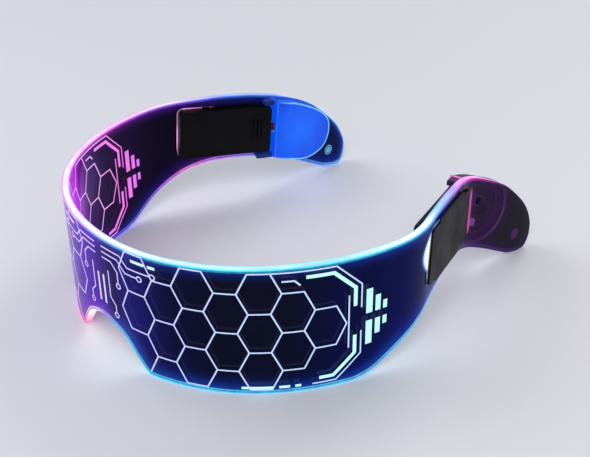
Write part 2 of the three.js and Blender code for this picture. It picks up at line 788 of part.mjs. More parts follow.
addPiece(glasses, 'visor_band', visorBand(), acrylic());
for (const [suffix, side] of [['L', 1], ['R', -1]]) {
  const shaped = (geometry) => (side > 0 ? geometry : mirrored(geometry));
  const homes = [
    [glasses, bentPieces],
    [unitFrame(0, 0, side), casePieces],
    [unitFrame(boardAlong, boardHeight, side), boardPieces],
  ];
  for (const [home, pieces] of homes) {
    for (const [name, geometry, material] of pieces) {
      addPiece(home, `${name}_${suffix}`, shaped(geometry), material());
    }
  }
}

export default glasses;
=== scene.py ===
import math
import bpy
import numpy as np
from mathutils import Matrix


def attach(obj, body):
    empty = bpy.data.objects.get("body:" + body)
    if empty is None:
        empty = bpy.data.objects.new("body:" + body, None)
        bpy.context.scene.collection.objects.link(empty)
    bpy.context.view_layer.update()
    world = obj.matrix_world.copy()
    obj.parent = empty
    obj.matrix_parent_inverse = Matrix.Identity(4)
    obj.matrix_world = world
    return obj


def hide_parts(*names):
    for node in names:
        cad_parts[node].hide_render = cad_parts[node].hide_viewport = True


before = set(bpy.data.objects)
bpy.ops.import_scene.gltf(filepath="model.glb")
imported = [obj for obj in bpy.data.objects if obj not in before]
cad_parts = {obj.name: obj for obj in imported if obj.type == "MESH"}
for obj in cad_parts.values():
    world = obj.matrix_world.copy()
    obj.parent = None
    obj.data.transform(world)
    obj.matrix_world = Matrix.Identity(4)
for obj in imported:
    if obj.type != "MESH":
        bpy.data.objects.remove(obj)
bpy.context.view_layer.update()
mm = 0.001
print("frame loaded:", len(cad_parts), "nodes")

# The bent sheet, in millimetres and degrees, as the part's source has it
sheet = {
    "reach": 219.0, "height": 50.8, "thickness": 3.0, "shift": 85.454,
    "bends": [(99.0, 7.1), (68.2, 44.9), (84.5, 32.3), (34.5, 27.7), (0.0, 36.0), (-40.2, 21.8), (0.0, 60.0)],
    "noseHalfWidth": 22.0, "noseHeight": 15.8,
    "lobeEnd": 95.0, "archHeight": 20.2, "restStart": 211.0, "restEnd": 214.5, "tipRise": 7.0,
    "topShares": [
        (-0.09, 0.969), (0, 0.961), (0.09, 0.969), (0.18, 0.98), (0.3, 0.988), (0.42, 0.989),
        (0.53, 0.991), (0.62, 0.998), (0.685, 0.996), (0.721, 0.984), (0.763, 0.963), (0.808, 0.915),
        (0.863, 0.807), (0.907, 0.697), (0.945, 0.559), (0.976, 0.417), (0.994, 0.275), (1, 0.187)],
    "noseShares": [
        (-0.14, 0.965), (0, 1), (0.14, 0.965), (0.3, 0.895), (0.468, 0.78), (0.68, 0.465),
        (0.86, 0.165), (0.94, 0.05), (1, 0)],
    "archShares": [
        (0, 0), (0.057, 0.089), (0.109, 0.255), (0.164, 0.44), (0.233, 0.64), (0.29, 0.8),
        (0.34, 0.905), (0.405, 0.985), (0.47, 1), (0.53, 0.985), (0.612, 0.931), (0.701, 0.782),
        (0.804, 0.505), (0.887, 0.248), (0.944, 0.084), (1, 0)],
    "tipShares": [(0, 0), (0.35, 0.08), (0.65, 0.29), (0.9, 0.65), (1, 1)],
}
window = {"along": 150.4, "up": 34.6, "tilt": 4.2, "length": 43.0, "height": 22.6, "corner": 2.2}
buttonHole = {"along": 30.5, "up": 2.6, "diameter": 3.6}  # on the window's axes
cordHole = {"along": 208.2, "up": 9.4, "diameter": 2.4}
tilt = math.radians(window["tilt"])
sides = {"L": 1, "R": -1}  # the wearer's left and right


# Where a walk along an arc, or straight on where the radius is 0, leads from x, y and a heading
def walk(x, y, turn, radius, along):
    if not radius:
        return x + along * np.cos(turn), y + along * np.sin(turn), turn + along * 0
    end = turn + along / radius
    return x + radius * (np.sin(end) - np.sin(turn)), y - radius * (np.cos(end) - np.cos(turn)), end


# The sheet's middle plane seen from above, as x, y and heading: each bend is an arc that starts
# where the one before it ends and keeps its heading
def planCurve(s):
    s = np.asarray(s, float)
    place, corner, start = [np.zeros_like(s)] * 3, (0.0, 0.0, 0.0), 0.0
    for radius, size in sheet["bends"]:
        length = abs(radius) * math.radians(size) if radius else size
        place = [np.where(s >= start, new, old) for new, old in zip(walk(*corner, radius, s - start), place)]
        corner, start = walk(*corner, radius, length), start + length
    return place


# A place on the sheet in metres: s along it from the nose (the wearer's right is negative),
# h above the table, n outwards from its middle plane
def onSheet(s, h, n):
    s, h, n = np.broadcast_arrays(s, h, n)
    side = np.where(s < 0, -1.0, 1.0)
    x, y, heading = planCurve(np.abs(s))
    return np.stack([side * (x + np.sin(heading) * n), y - np.cos(heading) * n - sheet["shift"], h], -1) * mm


# A smooth line through the points of a table, by cubic pieces whose slopes lean on
# the distance between neighbours (centripetal), given back as many short steps
def smoothLine(points, steps=24):
    p = np.asarray(points, float)
    p = np.vstack([2 * p[0] - p[1], p, 2 * p[-1] - p[-2]])
    a, b, c, d = p[:-3], p[1:-2], p[2:-1], p[3:]
    i, j, k = (np.maximum(np.linalg.norm(way, axis=1, keepdims=True) ** 0.5, 1e-6) for way in (b - a, c - b, d - c))
    m = ((b - a) / i - (c - a) / (i + j) + (c - b) / j) * j
    n = ((c - b) / j - (d - b) / (j + k) + (d - c) / k) * j
    t = np.linspace(0, 1, steps, endpoint=False)[:, None, None]
    line = b + m * t + (3 * (c - b) - 2 * m - n) * t ** 2 + (2 * (b - c) + m + n) * t ** 3
    return np.vstack([line.transpose(1, 0, 2).reshape(-1, p.shape[1]), p[-2]])


# An edge's height by the place along the sheet: the smooth line through a table whose shares
# are of the stretch from start to end and of a height
def edgeLine(shares, start, end, height):
    line = smoothLine(np.array(shares) * (end - start, height) + (start, 0))
    return lambda s: np.interp(s, line[:, 0], line[:, 1])


topOf = edgeLine(sheet["topShares"], 0, sheet["reach"], sheet["height"])
noseOf = edgeLine(sheet["noseShares"], 0, sheet["noseHalfWidth"], sheet["noseHeight"])
archOf = edgeLine(sheet["archShares"], sheet["lobeEnd"], sheet["restStart"], sheet["archHeight"])
tipOf = edgeLine(sheet["tipShares"], sheet["restEnd"], sheet["reach"], sheet["tipRise"])


# The top edge, the same on both halves
def topAt(s):
    return topOf(np.abs(s))


# The bottom edge: the notch over the nose, the arch under the temple and the rise of the tip,
# and the table's level between them
def bottomAt(s):
    s = np.abs(s)
    low = np.where(s < sheet["noseHalfWidth"], noseOf(s), 0.0)
    low = np.where((s > sheet["lobeEnd"]) & (s < sheet["restStart"]), archOf(s), low)
    return np.where(s > sheet["restEnd"], tipOf(s), low)


# From the window's axes (x to the rear, z up) to the unrolled sheet: turned by the tilt, then moved
def windowPlace(x, z):
    return (window["along"] + x * math.cos(tilt) + z * math.sin(tilt),
            window["up"] - x * math.sin(tilt) + z * math.cos(tilt))


# The way back, from either half of the unrolled sheet; s and h may be arrays or wires
def ontoWindow(s, h):
    along, up = abs(s) - window["along"], h - window["up"]
    return along * math.cos(tilt) - up * math.sin(tilt), along * math.sin(tilt) + up * math.cos(tilt)


def ofLengthOne(ways):
    return ways / np.linalg.norm(ways, axis=1)[:, None]


def addObject(name, data):
    made = bpy.data.objects.new(name, data)
    bpy.context.scene.collection.objects.link(made)
    return made


# A mesh on one body from whole arrays: points, four-cornered faces, and for each point a place
# on the sheet's map and the value of each field
def makePiece(name, points, faces, body, finish, maps, smooth=35, fields=None):
    mesh = bpy.data.meshes.new(name)
    mesh.vertices.add(len(points))
    mesh.vertices.foreach_set("co", points.ravel())
    mesh.loops.add(faces.size)
    mesh.loops.foreach_set("vertex_index", faces.ravel())
    mesh.polygons.add(len(faces))
    mesh.polygons.foreach_set("loop_start", np.arange(len(faces)) * faces.shape[1])
    mesh.polygons.foreach_set("use_smooth", np.full(len(faces), bool(smooth)))
    mesh.materials.append(finish.material)
    layer = mesh.uv_layers.new(name="sheetMap")
    layer.data.foreach_set("uv", maps[faces.ravel()].ravel())
    for key, values in (fields or {}).items():
        mesh.attributes.new(key, "FLOAT", "POINT").data.foreach_set("value", values)
    mesh.update(calc_edges=True)
    mesh.validate()
    if smooth:
        mesh.set_sharp_from_angle(angle=math.radians(smooth))
    piece = addObject(name, mesh)
    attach(piece, body)
    return piece


# Several meshes as one: their points in a row, and the corner numbers of their faces moved on
def joinMeshes(parts):
    counts = np.cumsum([0] + [len(points) for points, faces in parts])
    return (np.vstack([points for points, faces in parts]),
            np.vstack([faces + count for (points, faces), count in zip(parts, counts)]))


# Corner numbers of a grid's faces; a closed direction runs on to its first row again
def gridFaces(rows, columns, closeRows=False, closeColumns=False):
    i, j = np.meshgrid(np.arange(rows if closeRows else rows - 1),
                       np.arange(columns if closeColumns else columns - 1), indexing="ij")
    k, m = (i + 1) % rows, (j + 1) % columns
    return np.stack([i * columns + j, k * columns + j, k * columns + m, i * columns + m], -1).reshape(-1, 4)


# Faces turned round where the volumes between them and the solid's middle add up to less than nothing
def turnOutward(points, faces):
    a, b, c, d = (points[faces][:, k] - points.mean(axis=0) for k in range(4))
    volume = (np.cross(b - a, c - a) * a).sum() + (np.cross(c - a, d - a) * a).sum()
    return faces[:, ::-1] if volume < 0 else faces


# A colour as a paint program writes it, 0 to 255, in the light that the shader reckons with
def tint(red, green, blue):
    c = np.array([red, green, blue]) / 255
    return tuple(np.where(c <= 0.04045, c / 12.92, ((c + 0.055) / 1.055) ** 2.4).tolist())


# The sheet's own map: a place as a share of both reaches and of the sheet's height
def sheetShares(s, h):
    return np.stack([s / sheet["reach"] / 2 + 0.5, h / sheet["height"]], -1)


# One output of a node; sums and comparisons on it add Math nodes
class Wire:
    def __init__(self, finish, socket):
        self.finish, self.socket = finish, socket

    def maths(self, operation, other=0, turned=False, clip=False):
        ends = {0: other, 1: self} if turned else {0: self, 1: other}
        return self.finish.node("ShaderNodeMath", {"operation": operation, "use_clamp": clip}, ends)

    def __add__(self, other): return self.maths("ADD", other)
    def __radd__(self, other): return self.maths("ADD", other)
    def __sub__(self, other): return self.maths("SUBTRACT", other)
    def __rsub__(self, other): return self.maths("SUBTRACT", other, turned=True)
    def __mul__(self, other): return self.maths("MULTIPLY", other)
    def __rmul__(self, other): return self.maths("MULTIPLY", other)
    def __truediv__(self, other): return self.maths("DIVIDE", other)
    def __rtruediv__(self, other): return self.maths("DIVIDE", other, turned=True)
    def __pow__(self, other): return self.maths("POWER", other)
    def __rpow__(self, other): return self.maths("POWER", other, turned=True)
    def __gt__(self, other): return self.maths("GREATER_THAN", other)
    def __lt__(self, other): return self.maths("LESS_THAN", other)
    def __abs__(self): return self.maths("ABSOLUTE")


# A material under construction
class Finish:
    def __init__(self, name, **constants):
        self.material = bpy.data.materials.new(name)
        self.material.use_nodes = True
        self.tree = self.material.node_tree
        self.shader = next(n for n in self.tree.nodes if n.type == "BSDF_PRINCIPLED")
        self.feed(**constants)

    # Adds a node: its settings first (a ramp's stops too), then the values or links of its inputs
    def node(self, kind, settings=None, inputs=None, output=0):
        made = self.tree.nodes.new(kind)
        for key, value in (settings or {}).items():
            if key == "stops":
                ramp = made.color_ramp.elements
                while len(ramp) < len(value):
                    ramp.new(0.5)
                for element, (at, colour) in zip(ramp, value):
                    element.position, element.color = at, (*colour, 1)
            else:
                setattr(made, key, value)
        for key, value in (inputs or {}).items():
            self.link(value, made.inputs[key])
        return Wire(self, made.outputs[output])

    # A wire goes in as a link, and a value as the socket's own
    def link(self, value, socket):
        if isinstance(value, Wire):
            self.tree.links.new(value.socket, socket)
        else:
            socket.default_value = (*value, 1) if socket.type == "RGBA" else value

    def feed(self, **inputs):
        for key, value in inputs.items():
            self.link(value, self.shader.inputs[spaced(key)])
        return self

    def place(self):
        return self.node("ShaderNodeTexCoord", output="Object")

    # A value that the mesh holds for each point
    def field(self, name):
        return self.node("ShaderNodeAttribute", {"attribute_name": name}, output="Fac")

    # Both numbers of the sheet's map, along it and up it
    def sheetPlace(self):
        along = self.node("ShaderNodeSeparateXYZ", inputs={0: self.node("ShaderNodeUVMap", {"uv_map": "sheetMap"})})
        return along, Wire(self, along.socket.node.outputs["Y"])

    def noise(self, scale, detail=3, rough=0.55, stretch=(1, 1, 1)):
        at = self.node("ShaderNodeMapping", inputs={"Vector": self.place(), "Scale": stretch})
        return self.node("ShaderNodeTexNoise", inputs={
            "Vector": at, "Scale": scale, "Detail": detail, "Roughness": rough})

    # What the wire runs through from start to end becomes low to high, and is level beyond
    def spread(self, wire, low, high, start=0.0, end=1.0):
        return self.node("ShaderNodeMapRange", inputs={
            "Value": wire, "From Min": start, "From Max": end, "To Min": low, "To Max": high})

    # 1 where the wire is nothing and 0 from the reach on; a crisp one stays at 1 for that share of it
    def near(self, wire, reach, crisp=0.0):
        return self.spread(wire, 1.0, 0.0, reach * crisp, reach)

    def ramp(self, wire, stops):
        return self.node("ShaderNodeValToRGB", {"stops": stops}, {"Fac": wire})

    def mix(self, share, first, second, blend="MIX"):
        return self.node("ShaderNodeMix", {"data_type": "RGBA", "blend_type": blend},
                         {0: share, 6: first, 7: second}, output=2)

    def bump(self, wire, distance):
        return self.feed(Normal=self.node("ShaderNodeBump", inputs={"Height": wire, "Distance": distance}))


# "BaseColor" is the shader's socket "Base Color", and "SpecularIORLevel" is "Specular IOR Level"
def spaced(key):
    return "".join(" " + c if c.isupper() and i else c for i, c in enumerate(key)).replace("I O R", "IOR")


# Camera at the photograph's viewing angle
camera = {"place": (0.26639, -0.23497, 0.22107), "around": -41.957, "above": 29.821, "roll": -0.504,
          "lens": 61.30, "sensor": 36, "nearest": 0.01}


def makeCamera():
    data = bpy.data.cameras.new("photoCamera")
    data.lens, data.sensor_width, data.clip_start = camera["lens"], camera["sensor"], camera["nearest"]
    seen = addObject("photoCamera", data)
    around, above, roll = (math.radians(camera[k]) for k in ("around", "above", "roll"))
    back = np.array([math.cos(above) * math.cos(around), math.cos(above) * math.sin(around), math.sin(above)])
    side = np.array([-math.sin(around), math.cos(around), 0.0])
    up = np.cross(back, side)
    side, up = side * math.cos(roll) + up * math.sin(roll), up * math.cos(roll) - side * math.sin(roll)
    turned = np.eye(4)
    turned[:3] = np.stack([side, up, back, camera["place"]], -1)
    seen.matrix_world = Matrix(turned.tolist())
    bpy.context.scene.camera = seen


makeCamera()
print("camera placed")

# Floor and soft lights
stage = {"half": 1.6, "floorColour": (0.70, 0.71, 0.76), "floorRoughness": 0.55,
         "worldColour": (0.86, 0.88, 0.92), "worldStrength": 0.4, "aim": (0, 0, 0.02)}
lamps = [
    {"name": "keyLight", "place": (0.5, -0.55, 0.75), "size": 0.6, "power": 5.6, "colour": (1, 0.98, 0.96)},
    {"name": "fillLight", "place": (-0.7, -0.3, 0.6), "size": 0.8, "power": 3.2, "colour": (0.94, 0.96, 1)},
    {"name": "backLight", "place": (-0.2, 0.8, 0.7), "size": 0.6, "power": 3.2, "colour": (1, 1, 1)},
]


def makeStage():
    corners = np.array([(-1, -1, 0), (1, -1, 0), (1, 1, 0), (-1, 1, 0)]) * stage["half"]
    mesh = bpy.data.meshes.new("floor")
    mesh.from_pydata(corners.tolist(), [], [(0, 1, 2, 3)])
    floor = addObject("floor", mesh)
    floorFinish = Finish("paleFloor", Roughness=stage["floorRoughness"], BaseColor=stage["floorColour"])
    mesh.materials.append(floorFinish.material)
    world = bpy.data.worlds.new("studio")
    bpy.context.scene.world = world
    world.use_nodes = True
    background = world.node_tree.nodes["Background"]
    background.inputs["Color"].default_value = (*stage["worldColour"], 1)
    background.inputs["Strength"].default_value = stage["worldStrength"]
    for lamp in lamps:
        data = bpy.data.lights.new(lamp["name"], "AREA")
        data.shape, data.size, data.energy, data.color = "DISK", lamp["size"], lamp["power"], lamp["colour"]
        light = addObject(lamp["name"], data)
        light.location = lamp["place"]
        x, y, z = np.array(stage["aim"]) - lamp["place"]
        light.rotation_euler = (math.atan2(math.hypot(x, y), -z), 0, math.atan2(y, x) - math.pi / 2)


makeStage()
print("stage set")

# The sheet's faces, laid as patches, in millimetres: "inset" from the cut edges and "under" the
# solid's faces; each hole has its two cuts across the sheet and the steps between them
panel = {
    "inset": 0.25, "under": 0.03, "alongStep": 1.5, "tipStep": 0.7,
    "upShares": (0, 0.012, 0.04, 0.09, 0.16, 0.26, 0.38, 0.5, 0.62, 0.74, 0.84, 0.91, 0.96, 0.988, 1),
    "ringShares": (0, 0.04, 0.1, 0.18, 0.28, 0.4, 0.52, 0.64, 0.76, 0.86, 0.93, 0.97, 1),
    "window": (124.0, 176.0, 36), "button": (176.0, 187.0, 12), "cord": (202.5, 213.9, 10),
}


# A rounded rectangle by angle round its centre: a ray's end on the straight sides, or on the
# circle of a corner where it leaves through one
def roundedLoop(angles, length, height, corner):
    c, d = np.cos(angles), np.sin(angles)
    a, b = length / 2, height / 2
    reach = np.minimum(a / np.maximum(np.abs(c), 1e-9), b / np.maximum(np.abs(d), 1e-9))
    x, z = c * reach, d * reach
    cornered = (np.abs(x) > a - corner) & (np.abs(z) > b - corner)
    cx, cz = np.sign(c) * (a - corner), np.sign(d) * (b - corner)
    along = c * cx + d * cz
    far = along + np.sqrt(np.maximum(corner ** 2 - (cx ** 2 + cz ** 2 - along ** 2), 0.0))
    return np.where(cornered, c * far, x), np.where(cornered, d * far, z)


# A circle on the unrolled sheet by angle
def circleLoop(angles, centre, diameter):
    return np.array(centre) + diameter / 2 * np.stack([np.cos(angles), np.sin(angles)], -1)


buttonCentre = windowPlace(buttonHole["along"], buttonHole["up"])
cordCentre = cordHole["along"], cordHole["up"]


def buttonLoop(angles):
    return circleLoop(angles, buttonCentre, buttonHole["diameter"])


def cordLoop(angles):
    return circleLoop(angles, cordCentre, cordHole["diameter"])


# The window's rounded rectangle, turned and moved onto the sheet
def windowLoop(angles):
    x, z = roundedLoop(angles + tilt, window["length"], window["height"], window["corner"])
    return np.stack(windowPlace(x, z), -1)


# Places up the sheet: shares of the room between its bottom and top edges
def upSheet(s, shares):
    low = bottomAt(s) + panel["inset"]
    return np.stack(np.broadcast_arrays(s, low + shares * (topAt(s) - panel["inset"] - low)), -1)


# A ring of the sheet round a hole: straight lines from the hole's loop, at the same angles round
# its centre, to two cuts across the sheet and the edges between them
def ringPatch(cuts, centre, hole):
    start, end, count = cuts
    ups, runs = np.array(panel["upShares"]), np.linspace(start, end, count + 1)[1:-1]
    outer = np.vstack([upSheet(start, ups)[::-1], upSheet(runs, 0), upSheet(end, ups), upSheet(runs, 1)[::-1]])
    inner = hole(np.arctan2(outer[:, 1] - centre[1], outer[:, 0] - centre[0]))
    t = np.array(panel["ringShares"])[:, None, None]
    points = inner[None] * (1 - t) + outer[None] * t
    return points.reshape(-1, 2), gridFaces(len(t), len(outer), closeColumns=True)


# A plain stretch of the sheet: even steps along it by shares up it
def plainPatch(start, end, step):
    runs = np.linspace(start, end, max(2, int(round(abs(end - start) / step)) + 1))
    s, u = np.meshgrid(runs, np.array(panel["upShares"]), indexing="ij")
    return upSheet(s, u).reshape(-1, 2), gridFaces(*s.shape)


# Patches of the unrolled sheet welded where their corners meet
def weldPatches(patches):
    points, faces = joinMeshes(patches)
    _, first, to = np.unique(np.round(points, 4), axis=0, return_index=True, return_inverse=True)
    return points[first], to.ravel()[faces]


# The whole sheet: the front in one patch, then each temple's five and their mirrored twins
def sheetPatches():
    half = [ringPatch(panel["window"], (window["along"], window["up"]), windowLoop),
            ringPatch(panel["button"], buttonCentre, buttonLoop),
            plainPatch(panel["button"][1], panel["cord"][0], panel["alongStep"]),
            ringPatch(panel["cord"], cordCentre, cordLoop),
            plainPatch(panel["cord"][1], sheet["reach"] - panel["inset"], panel["tipStep"])]
    patches = [plainPatch(-panel["window"][0], panel["window"][0], panel["alongStep"])]
    for p, f in half:
        patches += [(p, f), (p * (-1, 1), f[:, ::-1])]
    return weldPatches(patches)


def slopeOf(edgeAt, s, step=0.2):
    return (edgeAt(s + step) - edgeAt(s - step)) / (2 * step)


# Distances in millimetres from places on the unrolled sheet to its cut edges: the room up to the
# top or down to the bottom edge is shortened by that edge's slope, the tip closes both, the
# window is a box with round corners and the cord hole is a circle
def gapsTo(flat):
    s, h = np.abs(flat[:, 0]), flat[:, 1]
    top = np.minimum((topAt(s) - h) / np.sqrt(1 + slopeOf(topAt, s) ** 2), sheet["reach"] - s)
    low = (h - bottomAt(s)) / np.sqrt(1 + slopeOf(bottomAt, s) ** 2)
    x, z = ontoWindow(s, h)
    off = [np.abs(v) - (size / 2 - window["corner"]) for v, size in ((x, window["length"]), (z, window["height"]))]
    opening = np.hypot(np.maximum(off[0], 0), np.maximum(off[1], 0)) - window["corner"]
    cord = np.hypot(s - cordCentre[0], h - cordCentre[1]) - cordHole["diameter"] / 2
    return {"topGap": top, "lowGap": low, "windowGap": opening, "cordGap": cord}


# The lamp unit's outline on the window's axes, as shares of its length and height
unit = {"front": 21.65, "top": 13.4, "length": 31.6, "height": 31.6, "beadsFrom": 0.3,
        "shares": [(0, 1), (0.342, 0.905), (0.642, 0.782), (0.867, 0.646), (0.965, 0.535), (1, 0.427),
                   (0.991, 0.285), (0.905, 0.12), (0.712, 0.02), (0.516, 0), (0.26, 0.054), (0, 0.146)]}


# That outline as a closed smooth line in millimetres
def unitLoop():
    p = np.array(unit["shares"]) * (unit["length"], unit["height"])
    return smoothLine(p, 8) + (unit["front"], unit["top"] - unit["height"])


# How deep a place lies inside the lamp unit's outline: its distance to the nearest side, negative
# outside, where a line forward from it crosses the outline an even number of times
def unitDepth(flat):
    loop = unitLoop()
    at = np.stack(ontoWindow(flat[:, 0], flat[:, 1]), -1)
    a, b = loop, np.roll(loop, -1, axis=0)
    way, off = (b - a)[None], at[:, None] - a[None]
    t = np.clip((off * way).sum(-1) / (way ** 2).sum(-1), 0, 1)
    far = np.sqrt(((off - way * t[..., None]) ** 2).sum(-1).min(axis=1))
    rise = np.where(b[:, 1] == a[:, 1], 1e-9, b[:, 1] - a[:, 1])
    meets = a[:, 0] + (at[:, 1:] - a[:, 1]) * (b - a)[:, 0] / rise
    crossed = ((a[:, 1] > at[:, 1:]) != (b[:, 1] > at[:, 1:])) & (at[:, :1] < meets)
    return np.where(crossed.sum(axis=1) % 2 == 1, far, -far)


# The sheet: both faces from one set of patches, and walls along every edge that one patch face alone has
def makeSheet(finish):
    flat, faces = sheetPatches()
    a, b, c = (flat[faces[:, k]] - flat[faces[:, 0]] for k in (1, 2, 3))
    area = a[:, 0] * b[:, 1] - a[:, 1] * b[:, 0] + b[:, 0] * c[:, 1] - b[:, 1] * c[:, 0]
    faces = np.where(area[:, None] < 0, faces[:, ::-1], faces)
    edges = np.stack([faces, np.roll(faces, -1, axis=1)], -1).reshape(-1, 2)
    _, to, seen = np.unique(np.sort(edges, axis=1), axis=0, return_inverse=True, return_counts=True)
    rim = edges[seen[to.ravel()] == 1]
    level, count = sheet["thickness"] / 2 - panel["under"], len(flat)
    points = np.vstack([onSheet(flat[:, 0], flat[:, 1], n) for n in (level, -level)])
    walls = np.stack([rim[:, 1], rim[:, 0], rim[:, 0] + count, rim[:, 1] + count], -1)
    allFaces = np.vstack([faces, faces[:, ::-1] + count, walls])
    maps = np.tile(sheetShares(flat[:, 0], flat[:, 1]), (2, 1))
    fields = {key: np.tile(gap, 2) for key, gap in gapsTo(flat).items()}
    fields["unitDepth"] = np.tile(unitDepth(flat), 2)
    fields["outerFace"] = np.repeat([1.0, 0.0], count)
    piece = makePiece("acrylicSheet", points, allFaces, "visor", finish, maps, fields=fields)
    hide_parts("visor_band")


# Colours that run along the sheet, from the wearer's right tip to the left one
glow = {
    "top": [(0.0, 90, 170, 255), (0.1, 70, 150, 255), (0.15, 110, 160, 255), (0.185, 190, 160, 255),
        (0.208, 250, 206, 255), (0.28, 240, 170, 255), (0.36, 255, 210, 252), (0.42, 255, 236, 252),
        (0.52, 244, 244, 255), (0.6, 176, 244, 255), (0.7, 130, 220, 255), (0.75, 220, 250, 255),
        (0.79, 250, 255, 255), (0.82, 110, 190, 255), (0.86, 130, 130, 255), (0.885, 255, 110, 225),
        (0.925, 235, 96, 210), (0.95, 96, 40, 120), (1.0, 52, 24, 76)],
    "lip": [(0.0, 70, 150, 255), (0.16, 70, 110, 250), (0.3, 220, 90, 235), (0.46, 190, 110, 255),
        (0.52, 100, 190, 255), (0.6, 60, 220, 255), (0.75, 90, 225, 255), (0.82, 60, 130, 255),
        (0.885, 225, 70, 205), (0.93, 150, 50, 150), (0.95, 56, 24, 80), (1.0, 38, 16, 58)],
    "bottom": [(0.0, 120, 190, 255), (0.07, 90, 140, 255), (0.13, 130, 120, 255), (0.17, 214, 124, 255),
        (0.2, 255, 150, 230), (0.23, 200, 124, 255), (0.255, 120, 120, 255), (0.3, 112, 108, 255),
        (0.4, 235, 60, 190), (0.45, 255, 50, 170), (0.458, 255, 120, 190), (0.468, 255, 240, 226),
        (0.486, 255, 232, 232), (0.5, 200, 150, 255), (0.512, 80, 200, 255), (0.54, 70, 225, 255),
        (0.62, 90, 215, 255), (0.72, 96, 212, 255), (0.785, 116, 214, 255), (0.82, 90, 110, 230),
        (0.87, 70, 34, 120), (1.0, 50, 22, 80)],
    # panel is the sheet's base colour, dark all along; its violet stretch from the right lens to the nose is painted
    # lamp light
    "panel": [(0.0, 3, 5, 24), (0.2, 3, 3, 16), (0.3, 10, 4, 22), (0.39, 22, 8, 42), (0.48, 22, 8, 46),
        (0.54, 10, 6, 30), (0.59, 3, 4, 20), (0.7, 2, 4, 20), (0.8, 2, 5, 28), (0.87, 3, 3, 16),
        (1.0, 6, 3, 12)],
    "deep": [(0.0, 2, 10, 56), (0.08, 2, 8, 50), (0.16, 2, 2, 16), (0.24, 6, 0, 22), (0.3, 26, 2, 52),
        (0.335, 44, 4, 84), (0.37, 70, 10, 116), (0.4, 74, 10, 134), (0.43, 62, 6, 134), (0.47, 72, 16, 172),
        (0.495, 56, 12, 146), (0.514, 8, 2, 60), (0.531, 14, 8, 98), (0.55, 4, 6, 84), (0.572, 0, 2, 52),
        (0.61, 1, 2, 20), (0.67, 1, 3, 24), (0.72, 0, 2, 54), (0.765, 0, 2, 72), (0.8, 0, 2, 64),
        (0.84, 1, 3, 26), (0.9, 12, 4, 24), (1.0, 6, 3, 14)],
    "flare": [(0.345, 0, 0, 0), (0.366, 120, 20, 140), (0.383, 184, 44, 200), (0.4, 90, 14, 110),
        (0.425, 0, 0, 0)],
    "lowHalo": [(0.0, 24, 70, 220), (0.12, 20, 60, 200), (0.19, 90, 30, 150), (0.25, 16, 36, 170),
        (0.31, 30, 36, 180), (0.37, 110, 36, 190), (0.44, 190, 36, 160), (0.48, 150, 56, 220),
        (0.53, 40, 90, 240), (0.6, 20, 80, 240), (0.7, 12, 60, 220), (0.78, 20, 80, 240), (0.83, 30, 40, 150),
        (0.9, 60, 24, 100), (1.0, 20, 10, 34)],
    "halo": [(0.0, 24, 70, 220), (0.12, 20, 60, 200), (0.2, 90, 40, 200), (0.26, 150, 44, 220),
        (0.3, 180, 44, 190), (0.4, 180, 60, 200), (0.48, 140, 76, 230), (0.54, 60, 80, 230),
        (0.62, 24, 80, 220), (0.7, 16, 70, 220), (0.77, 40, 110, 255), (0.82, 36, 60, 210), (0.9, 100, 36, 140),
        (0.95, 30, 12, 44), (1.0, 20, 10, 34)],
    "lines": [(0.0, 150, 190, 255), (0.28, 250, 120, 236), (0.32, 244, 176, 250), (0.42, 232, 170, 255),
        (0.52, 206, 196, 255), (0.6, 190, 206, 255), (0.8, 190, 225, 255), (1.0, 200, 190, 255)],
    "bars": [(0.0, 150, 190, 255), (0.25, 206, 110, 236), (0.28, 244, 116, 232), (0.42, 250, 160, 255),
        (0.56, 190, 240, 255), (0.7, 190, 255, 244), (1.0, 170, 240, 255)],
}


# A ramp's stops from rows of a place and a colour
def stops(rows):
    return [(at, tint(*colour)) for at, *colour in rows]


# Light in the sheet, in millimetres. "halos" gives an edge, a share, a reach in halo lengths and
# colours, "lines" an edge, a reach, the place of a dark groove and colours. The leaf is where
# the front lamps' light enters ahead of the window, the frame the line round its front half
shine = {
    "alpha": 0.986, "unitAlpha": 0.5, "gloss": 0.06, "roughness": 0.05, "crisp": 0.7,
    "halo": 7.0, "haloShare": 0.42,
    "halos": (("topGap", 0.9, 1.0, "halo"), ("lowGap", 1.3, 1.6, "lowHalo"), ("cordGap", 0.3, 1.0, "halo")),
    "lineShare": 0.9, "grooveShare": 0.65, "groove": (0.12, 0.3),
    "lines": (("topGap", 1.15, 0.68, "lip"), ("lowGap", 1.9, 0.95, "bottom")),
    "cordRings": ((0.12, 0.8), (1.0, 0.9)), "ringWidth": (0.06, 0.26),  # the hole's rim and its countersink's
    "leaf": 6.2, "leafHalf": 9.4, "leafUp": 2.6, "leafPower": 1.2, "leafBack": -0.3,
    "leafFringe": (0.02, 0.3), "leafCore": (0.2, 0.42), "clearFrom": (12.0, 16.0),
    "frame": 0.6, "frameFade": 17.0, "frameFrom": (-11.0, -8.0),
    "upright": (2.5, 6.5), "uprightDown": 1.5, "uprightWide": 2.0, "uprightLeast": 0.25, "uprightDim": 0.75,
    "streak": 1.1, "streakAt": 24.6, "streakLean": 0.06, "streakEnds": (7.5, 10.5), "paintedUnitGlow": (38, 12, 50),
    # The colours of each on the wearer's right and left
    "sides": {"ring": ((130, 210, 255), (104, 44, 120)), "frame": ((255, 170, 236), (150, 190, 255)),
              "core": ((255, 226, 250), (236, 255, 252)), "fringe": ((220, 70, 220), (40, 130, 240)),
              "streak": ((90, 170, 255), (255, 104, 205))},
}


